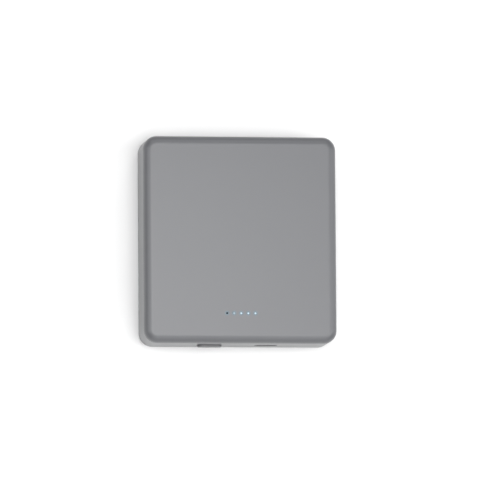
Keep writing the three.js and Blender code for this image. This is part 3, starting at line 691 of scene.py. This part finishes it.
def closed_cell_foam():
    """Black foam, pitted where its cells are cut open."""
    material, tree, shader = new_material("closed_cell_foam")
    place = put(tree, "ShaderNodeTexCoord").outputs["Object"]
    pits = put(tree, "ShaderNodeTexVoronoi", {"Vector": place, "Scale": 2300.0}).outputs[0]
    surface = base_grain(tree, "26272a", 0.1, 0.92, 150.0)
    walls = spread(tree, pits, 0.0, 0.6, 0.25, 0.6)
    tree.links.new(mixed(tree, walls, surface["Colour"], rgb("3b3c40")), shader.inputs["Base Color"])
    tree.links.new(surface["Roughness"], shader.inputs["Roughness"])
    bump(tree, shader, pits, 0.12 * MM)
    return material


def label_film():
    """Silvery printed film with a plain border line and two blank fields."""
    material, tree, shader = new_material("label_film", Coat_Weight=0.15, Coat_Roughness=0.3)
    low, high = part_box("rating_label")
    middle = (low + high) / 2
    half = (high - low) / 2
    place = put(tree, "ShaderNodeTexCoord").outputs["Object"]
    local = put(tree, "ShaderNodeVectorMath", {0: place, 1: middle}, operation="SUBTRACT").outputs[0]
    size = put(tree, "ShaderNodeVectorMath", {0: local}, operation="ABSOLUTE").outputs[0]
    axes = put(tree, "ShaderNodeSeparateXYZ", {0: size}).outputs
    from_side, from_end = (maths(tree, "SUBTRACT", half[i], axes[i]) for i in (0, 1))
    inset = maths(tree, "MINIMUM", from_side, from_end)
    line = maths(
        tree,
        "MULTIPLY",
        maths(tree, "GREATER_THAN", inset, 0.9 * MM),
        maths(tree, "LESS_THAN", inset, 1.15 * MM),
    )
    central = maths(tree, "LESS_THAN", axes[0], 0.12 * MM)
    divider = maths(tree, "MULTIPLY", central, maths(tree, "GREATER_THAN", inset, 1.0 * MM))
    print_mask = maths(tree, "MAXIMUM", line, divider)
    surface = base_grain(tree, "a9aaad", 0.03, 0.5, 80.0)
    tree.links.new(mixed(tree, print_mask, surface["Colour"], rgb("4a4b4e")), shader.inputs["Base Color"])
    tree.links.new(surface["Roughness"], shader.inputs["Roughness"])
    bump(tree, shader, surface["Height"], 0.004 * MM)
    return material


def clear_guide():
    """Clear moulding whose tips glow where the light below is on, and are painted near black as shade where
    it is off. The `lit` attribute says how bright.
    """
    material, tree, shader = new_material(
        "clear_guide", IOR=1.49, Specular_IOR_Level=0.12, Emission_Strength=LAMP_STRENGTH
    )
    surface = base_grain(tree, "8fa3b0", 0.05, 0.22, 300.0)
    lit = put(tree, "ShaderNodeAttribute", attribute_name="lit", attribute_type="GEOMETRY").outputs["Fac"]
    unlit_shade = maths(tree, "SUBTRACT", 1.0, lit)
    # painted shade: an unlit tip is painted near black for the dark inside the case beneath it
    tree.links.new(mixed(tree, unlit_shade, surface["Colour"], rgb("0c1116")), shader.inputs["Base Color"])
    tree.links.new(surface["Roughness"], shader.inputs["Roughness"])
    tree.links.new(mixed(tree, lit, (0, 0, 0, 1), (0.86, 0.95, 1.0, 1)), shader.inputs["Emission Color"])
    bump(tree, shader, surface["Height"], 0.004 * MM)
    return material


def painted_glow_and_shade(tree, colour):
    """Painted light and painted shade: bluish rings of light round the lights, and dark shade over the
    socket's outline at every depth behind the front face, on the rear wall's outside as well.
    """
    mask = placed_group(tree, SPILL, Middle=(0, LIGHTS_Y, HEIGHT), Pitch=LIGHT_PITCH, Reach=1.5 * MM)["Mask"]
    # painted light: the plastic is tinted bluish round each pin hole
    glow_ringed = mixed(tree, maths(tree, "MULTIPLY", mask, 0.85), colour, rgb("4f6b7a"))
    place = put(tree, "ShaderNodeTexCoord").outputs["Object"]
    local = put(tree, "ShaderNodeVectorMath", {0: place, 1: (PORT_X, FRONT, PORT_Z)}, operation="SUBTRACT")
    axes = put(tree, "ShaderNodeSeparateXYZ", {0: local.outputs[0]}).outputs
    across, upright = (
        spread(tree, maths(tree, "ABSOLUTE", axes[i]), 1.0, 0.0, half + 0.7 * MM, half + 0.8 * MM)
        for i, half in ((0, PORT_WIDTH / 2), (2, PORT_TALL / 2))
    )
    # painted shade: darkest from 0.35 mm behind the front face, with no rear limit
    depth = spread(tree, axes[1], 0.0, 0.85, 0.02 * MM, 0.35 * MM)
    shade = maths(tree, "MULTIPLY", maths(tree, "MULTIPLY", across, upright), depth)
    return mixed(tree, shade, glow_ringed, rgb("161617"))


def painted_root_shade(tree, colour):
    """Painted shade: a dark line round the button, where it goes into its well. The button is darkened from
    just in front of the wall's face all the way back.
    """
    place = put(tree, "ShaderNodeTexCoord").outputs["Object"]
    depth = put(tree, "ShaderNodeSeparateXYZ", {0: place}).outputs[1]
    # painted shade: none at 0.26 mm in front of the wall's face, 0.85 from 0.14 mm in front of it backwards
    mask = spread(tree, depth, 0.0, 0.85, FRONT - 0.26 * MM, FRONT - 0.14 * MM)
    return mixed(tree, mask, colour, rgb("1c1c1e"))


LAMP_STRENGTH = 0.52
LIT = (0.0, 0.62, 1.0, 1.0, 0.9)
CASE_GREY = "5e5f62"
CASE_PALE_EDGE = "68696c"
BUTTON_GREY = "666769"
CASE_HALF = Vector((WIDTH, LENGTH, HEIGHT)) / 2
BUTTON_LOW, BUTTON_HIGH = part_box("power_button")
BUTTON_MIDDLE = (BUTTON_LOW + BUTTON_HIGH) / 2

MATERIALS = {
    "case_plastic": handled_plastic(
        "case_plastic", CASE_GREY, CASE_PALE_EDGE, 0.31, CASE_HALF, (0, 0, HEIGHT / 2), 3.0 * MM, painted_glow_and_shade
    ),
    "button_plastic": handled_plastic(
        "button_plastic",
        BUTTON_GREY,
        CASE_PALE_EDGE,
        0.31,
        (BUTTON_HIGH - BUTTON_LOW) / 2,
        BUTTON_MIDDLE,
        0.8 * MM,
        painted_root_shade,
    ),
    "clear_plastic": clear_guide(),
    "black_plastic": grained("black_plastic", "1d1e20", 0.5, Variation=0.05, Cloud_Scale=200.0),
    "steel": metal("plated_steel", "b9bcc0", "8f8a80", 0.3, (1.0, 0.06, 1.0)),
    "nickel": metal("bright_nickel", "c9c5b8", "9a907c", 0.32, (0.08, 1.0, 1.0)),
    "solder_mask": solder_mask(),
    "ferrite": grained(
        "ferrite", "3a3b3e", 0.75, 0.03 * MM, Variation=0.12, Grain_Scale=2500.0, Cloud_Scale=400.0
    ),
    "ceramic": grained("ceramic", "a88a63", 0.4, Variation=0.07, Cloud_Scale=500.0),
    "led_package": grained("led_package", "efece0", 0.35, Variation=0.04, Cloud_Scale=400.0),
    "cell_sleeve": cell_film(),
    "insulating_paper": insulating_paper(),
    "foam": closed_cell_foam(),
    "label_film": label_film(),
    "red_silicone": grained("red_silicone", "a81d1a", 0.45, 0.015 * MM, Variation=0.06, Cloud_Scale=150.0),
    "black_silicone": grained(
        "black_silicone", "19191b", 0.45, 0.015 * MM, Variation=0.08, Cloud_Scale=150.0
    ),
    "sensor_epoxy": grained("sensor_epoxy", "6b4a2a", 0.3, 0.02 * MM, Variation=0.1, Cloud_Scale=500.0),
}


def dress(piece, slot, body="case", replaces=()):
    """Gives the piece the material of its slot and its body, and hides the nodes that it stands for."""
    piece.data.materials.clear()
    piece.data.materials.append(MATERIALS[slot])
    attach(piece, body)
    if replaces:
        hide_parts(*replaces)
    return piece


def finish_piece(piece, slot, body="case", replaces=(), sharp=math.radians(32)):
    close_up(piece, sharp)
    return dress(piece, slot, body, replaces)


# ------------------------------------------------------------------ case
CASE_PATH = (WIDTH - 2 * EDGE, LENGTH - 2 * EDGE, CORNER - EDGE)


def opening_tool(name, across, tall, lead_in, x, z):
    """A cutter for a pill-shaped opening in the front wall, with a rounded lead-in at the face."""
    inset = tall / 2 - 0.4 * MM
    face = -FRONT + 0.004 * MM
    return swept(
        name,
        [
            (0, face + 1 * MM, 0, 1),
            (inset + lead_in, face + 1 * MM, 0, 1),
            (inset + lead_in, face, 0, 1),
            (inset, face, lead_in * 0.98, 6),
            (inset, -FRONT - 3 * WALL, 0, 1),
            (0, -FRONT - 3 * WALL, 0, 1),
        ],
        across - 2 * inset,
        tall - 2 * inset,
        (tall / 2 - inset) * 0.999,
        place=(x, 0, z),
        turn=FACING_FRONT,
        steps=12,
    )


def post(name, radius, low, high, x, y):
    """An upright round bar, to be joined to a moulding or cut out of it."""
    return turned(name, [(0, low), (radius, low), (radius, high), (0, high)], (x, y, 0), 28)


def bead(radius, start, end):
    """A round bar lying from one point to the other, along X or along Y."""
    start, end = Vector(start), Vector(end)
    along = end - start
    bar = turned("bead", [(0, 0), (radius, 0), (radius, along.length), (0, along.length)], sides=10)
    turn = along.to_track_quat("Z", "Y").to_matrix().to_4x4()
    bar.data.transform(Matrix.Translation(start) @ turn)
    return bar


def snap_beads(radius, reach):
    """The beads of the lip, or the grooves of the lower shell: two on each side and two at the rear."""
    level = RIM - 0.95 * MM
    side = WIDTH / 2 - SKIN - LIP_GAP
    rear = LENGTH / 2 - SKIN - LIP_GAP
    beads = []
    for x in (-side, side):
        for y in (-LENGTH / 4, LENGTH / 4):
            beads.append(bead(radius, (x, y - reach, level), (x, y + reach, level)))
    for x in (-WIDTH / 4, WIDTH / 4):
        beads.append(bead(radius, (x - reach, rear, level), (x + reach, rear, level)))
    return beads


def make_lid():
    lip = EDGE - SKIN - LIP_GAP
    lid = swept(
        "upper_case",
        [
            (0, HEIGHT, 0, 1),
            (EDGE, HEIGHT, EDGE - 0.15 * MM, EDGE_STEPS),
            (EDGE, RIM + SEAM, SOFTENED, 3),
            (lip, RIM + SEAM, SOFTENED, 3),
            (lip, LID_LOW_LIP, SOFTENED, 3),
            (EDGE - WALL, LID_LOW_LIP, SOFTENED, 3),
            (EDGE - WALL, HEIGHT - WALL, EDGE - WALL - 0.02 * MM, 8),
            (0, HEIGHT - WALL, 0, 1),
        ],
        *CASE_PATH,
    )
    pin = turned(
        "pin_holes",
        [
            (0, HEIGHT - 2 * WALL),
            (PIN_HOLE, HEIGHT - 2 * WALL),
            (PIN_HOLE, HEIGHT - 0.06 * MM),
            (PIN_HOLE + 0.02 * MM, HEIGHT - 0.02 * MM),
            (PIN_HOLE + 0.06 * MM, HEIGHT + 0.001 * MM),
            (PIN_HOLE + 0.06 * MM, HEIGHT + WALL),
            (0, HEIGHT + WALL),
        ],
        sides=20,
    )
    pins = grow(pin, ROW, Count=LIGHT_COUNT, Spacing=(LIGHT_PITCH, 0, 0), Place=(0, LIGHTS_Y, 0))
    into_roof = HEIGHT - WALL / 2
    bosses = [post("lid_boss", LID_BOSS, LID_LOW.z, into_roof, x, SCREW.y) for x in (-SCREW.x, SCREW.x)]
    bores = [post("lid_bore", LID_PILOT, 0, LID_PILOT_TOP, x, SCREW.y) for x in (-SCREW.x, SCREW.x)]
    stops = [
        block("lid_stop", (left, STOP_Y, 16 * MM), (right, STOP_Y + RIB, into_roof))
        for left, right in ((-STOP_REACH, SENSOR_X - 3 * MM), (SENSOR_X + 3 * MM, STOP_REACH))
    ]
    join_to(lid, *bosses, *stops, *snap_beads(0.3 * MM, 4 * MM))
    carve(lid, pins, *bores)
    return finish_piece(lid, "case_plastic", replaces=["upper_shell"])


def label_recess():
    """A shallow pocket in the underside, with rounded corners."""
    low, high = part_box("rating_label")
    round_in = 1 * MM
    size = high - low + Vector((0.6, 0.6, 0)) * MM
    depth = 0.25 * MM
    return swept(
        "label_recess",
        [(0, -WALL, 0, 1), (round_in, -WALL, 0, 1), (round_in, depth, 0, 1), (0, depth, 0, 1)],
        size.x - 2 * round_in,
        size.y - 2 * round_in,
        1 * MM,
        place=((low.x + high.x) / 2, (low.y + high.y) / 2, 0),
        steps=6,
    )


def make_tub():
    pocket = EDGE - SKIN
    tub = swept(
        "lower_case",
        [
            (0, WALL, 0, 1),
            (EDGE - WALL, WALL, EDGE - WALL - 0.02 * MM, 8),
            (EDGE - WALL, RIM - LIP_POCKET, SOFTENED, 3),
            (pocket, RIM - LIP_POCKET, SOFTENED, 3),
            (pocket, RIM, SOFTENED, 3),
            (EDGE, RIM, SHADOW_GAP, 6),
            (EDGE, 0, EDGE - 0.02 * MM, EDGE_STEPS),
            (0, 0, 0, 1),
        ],
        *CASE_PATH,
    )
    across, tall = PORT_WIDTH + 2 * PORT_GAP, PORT_TALL + 2 * PORT_GAP
    port = opening_tool("port_tool", across, tall, PORT_LEAD_IN, PORT_X, PORT_Z)
    across, tall = CAP_WIDTH + 2 * CAP_GAP, CAP_TALL + 2 * CAP_GAP
    well = opening_tool("button_tool", across, tall, CAP_LEAD_IN, BUTTON_MIDDLE.x, BUTTON_MIDDLE.z)
    screws = (-SCREW.x, SCREW.x)
    studs = (-STUD.x, STUD.x)
    low = WALL / 2
    joined = [post("screw_boss", SCREW_BOSS, low, SCREW_BOSS_TOP, x, SCREW.y) for x in screws]
    joined += [post("board_boss", STUD_BOSS, low, BOARD_LOW.z, x, STUD.y) for x in studs]
    joined.append(block("floor_stop", (-STOP_REACH, STOP_Y, low), (STOP_REACH, STOP_Y + RIB, 7.8 * MM)))
    inside_rear = LENGTH / 2 - WALL
    for x in (-SENSOR_X, 0, SENSOR_X):
        corner = (x + RIB / 2, inside_rear + WALL / 2, RIM - 3.1 * MM)
        joined.append(block("rear_rib", (x - RIB / 2, REAR_RIB_Y, low), corner))
    cut = [post("head_bore", HEAD_BORE, -WALL, HEAD_DEPTH, x, SCREW.y) for x in screws]
    cut += [post("screw_bore", SCREW_BORE, 0, HEIGHT, x, SCREW.y) for x in screws]
    cut += [post("board_pilot", STUD_PILOT, STUD_PILOT_LOW, HEIGHT, x, STUD.y) for x in studs]
    join_to(tub, *joined)
    carve(tub, port, well, label_recess(), *cut, *snap_beads(0.42 * MM, 4.1 * MM))
    return finish_piece(tub, "case_plastic", replaces=["lower_shell"])


make_lid()
make_tub()


# ------------------------------------------------------------------ button
def make_button():
    inset = 1.3 * MM
    flange = inset + CAP_GAP + 0.9 * MM
    face = -BUTTON_LOW.y
    back = -BUTTON_HIGH.y
    plate = back + 0.8 * MM
    cap = swept(
        "button_cap",
        [
            (0, face, 0, 1),
            (inset, face, 0.45 * MM, 8),
            (inset, plate, 0, 1),
            (flange, plate, 0.1 * MM, 2),
            (flange, back, 0.1 * MM, 2),
            (0, back, 0, 1),
        ],
        CAP_WIDTH - 2 * inset,
        CAP_TALL - 2 * inset,
        (CAP_TALL / 2 - inset) * 0.999,
        place=(BUTTON_MIDDLE.x, 0, BUTTON_MIDDLE.z),
        turn=FACING_FRONT,
        steps=16,
    )
    return finish_piece(cap, "button_plastic", "button", ["power_button"])


make_button()


# ------------------------------------------------------------------ socket
def make_port():
    """The socket's drawn steel shell, with a rolled mouth, and its four legs."""
    inset = PORT_TALL / 2 - 0.5 * MM
    skin = 0.3 * MM
    mouth, back = -PORT_LOW.y, -PORT_HIGH.y
    shell = swept(
        "socket_shell",
        [
            (inset, mouth, 0.12 * MM, 4),
            (inset, back, 0.05 * MM, 2),
            (inset - skin, back, 0.05 * MM, 2),
            (inset - skin, mouth, 0.12 * MM, 4),
            (inset, mouth, 0.12 * MM, 4),
        ],
        PORT_WIDTH - 2 * inset,
        PORT_TALL - 2 * inset,
        (PORT_TALL / 2 - inset) * 0.999,
        place=(PORT_X, 0, PORT_Z),
        turn=FACING_FRONT,
        steps=16,
        filled=False,
    )
    outer = PORT_WIDTH / 2
    legs = []
    for side in (-1, 1):
        for from_mouth in (2.6 * MM, 5.9 * MM):
            inner_x, outer_x = sorted((side * (outer - skin), side * outer))
            start = PORT_LOW.y + from_mouth
            low = (PORT_X + inner_x, start, PORT_LOW.z)
            legs.append(block("leg", low, (PORT_X + outer_x, start + 1 * MM, PORT_Z)))
    join_to(shell, *legs)
    return finish_piece(shell, "steel", replaces=["usb_shell"])


def make_contacts():
    """Twelve plated contacts on each face of the tongue."""
    rows = []
    for side in (-1, 1):
        face = PORT_Z + side * 0.35 * MM
        pad = block(
            "contact",
            (-0.13 * MM, PORT_LOW.y + 1.05 * MM, face - 0.02 * MM),
            (0.13 * MM, PORT_LOW.y + 4.3 * MM, face + 0.02 * MM),
        )
        rows.append(grow(pad, ROW, Count=12, Spacing=(0.5 * MM, 0, 0), Place=(PORT_X, 0, 0)))
    work = bmesh.new()
    for row in rows:
        work.from_mesh(row.data)
    work.to_mesh(rows[0].data)
    work.free()
    bpy.data.objects.remove(rows[1])
    rows[0].name = "socket_contacts"
    return finish_piece(rows[0], "nickel")


make_port()
make_contacts()


# ------------------------------------------------------------------ light guide
def make_guide():
    """Clear bar under the lid with a column down to each light and a tip up through each pin hole."""
    low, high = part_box("light_guide")
    bar_top, bar_low = HEIGHT - WALL - 0.1 * MM, HEIGHT - WALL - 1.5 * MM
    deep = high.y - low.y
    radius = deep / 2
    bar = swept(
        "light_guide_clear",
        [
            (0, bar_top, 0, 1),
            (radius * 0.6, bar_top, 0.15 * MM, 3),
            (radius * 0.6, bar_low, 0.15 * MM, 3),
            (0, bar_low, 0, 1),
        ],
        (high.x - low.x) - 1.2 * radius,
        deep - 1.2 * radius,
        0.399 * radius,
        place=((low.x + high.x) / 2, LIGHTS_Y, 0),
        steps=8,
    )
    column = turned(
        "column",
        [(0, low.z), (0.7 * MM, low.z), (0.7 * MM, bar_low + 0.2 * MM), (0, bar_low + 0.2 * MM)],
        sides=20,
    )
    tip = turned(
        "tip",
        [
            (0, bar_top - 0.2 * MM),
            (TIP, bar_top - 0.2 * MM),
            (TIP, high.z - 0.08 * MM),
            (TIP * 0.8, high.z - 0.02 * MM),
            (0, high.z),
        ],
        sides=20,
    )
    spacing = {"Count": LIGHT_COUNT, "Spacing": (LIGHT_PITCH, 0, 0), "Place": (0, LIGHTS_Y, 0)}
    join_to(bar, grow(column, ROW, **spacing), grow(tip, ROW, **spacing))
    close_up(bar)
    lit = bar.data.attributes.new("lit", "FLOAT", "POINT")
    first = -(LIGHT_COUNT - 1) / 2 * LIGHT_PITCH
    nearest = [round((v.co.x - first) / LIGHT_PITCH) for v in bar.data.vertices]
    lit.data.foreach_set("value", [LIT[min(max(n, 0), LIGHT_COUNT - 1)] for n in nearest])
    return dress(bar, "clear_plastic", replaces=["light_guide"])


make_guide()


# ------------------------------------------------------------------ snap dome
def make_dome():
    """The switch's spring-steel dome, with a flat rim, in its rest shape. The real dome flattens as the
    button goes in; this one does not.
    """
    low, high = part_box("switch_dome")
    reach = (high.x - low.x) / 2
    rise, skin, rim = high.y - low.y, 0.1 * MM, 0.82
    steps = 10

    def arch(lift, order):
        heights = [(rise - skin) * (1 - (i / steps) ** 2) + lift for i in range(steps + 1)]
        line = [(reach * rim * i / steps, height) for i, height in enumerate(heights)]
        return line if order > 0 else line[::-1]

    profile = [*arch(skin, 1), (reach, skin), (reach, 0), *arch(0, -1)]
    dome = turned("snap_dome", profile, sides=36)
    middle = (low + high) / 2
    seat = Vector((middle.x, high.y, middle.z))
    dome.data.transform(Matrix.Translation(seat) @ Matrix.Rotation(FACING_FRONT[0], 4, "X"))
    finish_piece(dome, "nickel", replaces=["switch_dome"])
    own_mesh(dome)


make_dome()


# ------------------------------------------------------------------ pieces that keep their CAD shape
def dress_carried_nodes():
    slots = {part["node"]: part["material_slot"] for part in frame["record"]["subparts"]}
    for name, node in frame["nodes"].items():
        if not node.hide_render:
            node.data.materials.clear()
            node.data.materials.append(MATERIALS[slots[name]])


dress_carried_nodes()


# ------------------------------------------------------------------ floor, light and camera
def make_floor():
    corners = [(x * FLOOR_HALF, y * FLOOR_HALF, 0) for x, y in ((-1, -1), (1, -1), (1, 1), (-1, 1))]
    floor = new_piece("floor", corners, faces=[(0, 1, 2, 3)])
    material, tree, shader = new_material("pale_floor", Roughness=0.75, Specular_IOR_Level=0.2)
    place = put(tree, "ShaderNodeTexCoord").outputs["Object"]
    cloud = noise(tree, place, 6.0, 3.0)
    tone = spread(tree, cloud, FLOOR_TONE - 0.005, FLOOR_TONE + 0.005)
    grey = put(tree, "ShaderNodeCombineColor", {0: tone, 1: tone, 2: tone}).outputs[0]
    tree.links.new(grey, shader.inputs["Base Color"])
    floor.data.materials.append(material)


def make_light(name, place, size, power):
    """A rectangular lamp that faces the case."""
    lamp = bpy.data.lights.new(name, "AREA")
    lamp.shape = "RECTANGLE"
    lamp.size, lamp.size_y = size
    lamp.energy = power
    piece = bpy.data.objects.new(name, lamp)
    piece.location = place
    piece.rotation_euler = (-Vector(place)).to_track_quat("-Z", "Y").to_euler()
    bpy.context.scene.collection.objects.link(piece)


def make_world(strength, backdrop):
    """A white studio tent. It lights the case faintly and is seen brightly behind it."""
    world = bpy.data.worlds.new("studio")
    bpy.context.scene.world = world
    world.use_nodes = True
    tree = world.node_tree
    seen = put(tree, "ShaderNodeLightPath").outputs["Is Camera Ray"]
    background = tree.nodes["Background"]
    background.inputs["Color"].default_value = (1, 1, 1, 1)
    tree.links.new(spread(tree, seen, strength, backdrop), background.inputs["Strength"])


def make_camera():
    """A long lens from the front left, almost overhead."""
    azimuth, elevation, roll = (math.radians(angle) for angle in (-53.3, 80.27, 0.41))
    distance = 3.0
    aim = Vector((1.29, 0.9, 12.0)) * MM
    level = math.cos(elevation)
    back = Vector((math.sin(azimuth) * level, -math.cos(azimuth) * level, math.sin(elevation)))
    right = (Vector((1, 0, 0)) - back * back.x).normalized()
    up = back.cross(right)
    turned_right = math.cos(roll) * right + math.sin(roll) * up
    turned_up = math.cos(roll) * up - math.sin(roll) * right
    lens = bpy.data.cameras.new("camera")
    lens.lens = 551.0
    lens.sensor_width = 36.0
    lens.clip_start, lens.clip_end = 0.1, 20.0
    camera = bpy.data.objects.new("camera", lens)
    axes = Matrix((turned_right, turned_up, back)).transposed()
    camera.matrix_world = Matrix.Translation(aim + back * distance) @ axes.to_4x4()
    bpy.context.scene.collection.objects.link(camera)
    bpy.context.scene.camera = camera


FLOOR_TONE = 0.87
FLOOR_HALF = 0.55
LAMPS = {
    "overhead": ((0, 0, 1.0), (0.4, 0.4), 4.0),
    "overhead_front": ((-0.1, -0.25, 1.0), (0.8, 0.8), 0.8),
    "left": ((-0.8, 0, 0.95), (0.7, 1.2), 6.0),
    "right": ((0.9, 0, 0.8), (0.7, 1.2), 2.4),
    "front": ((0, -0.8, 0.95), (1.2, 0.7), 5.2),
    "rear": ((0, 0.9, 0.8), (1.2, 0.7), 4.2),
    "front_low": ((0, -1.2, 0.35), (1.4, 0.5), 2.2),
    "right_low": ((1.2, 0, 0.5), (0.5, 1.4), 3.35),
    "right_above": ((0.4, -0.15, 0.7), (0.4, 0.4), 1.8),
}
make_floor()
make_world(0.05, 0.95)
for name, (place, size, power) in LAMPS.items():
    make_light(name, place, size, power)
make_camera()
bpy.context.scene.view_settings.view_transform = "Standard"
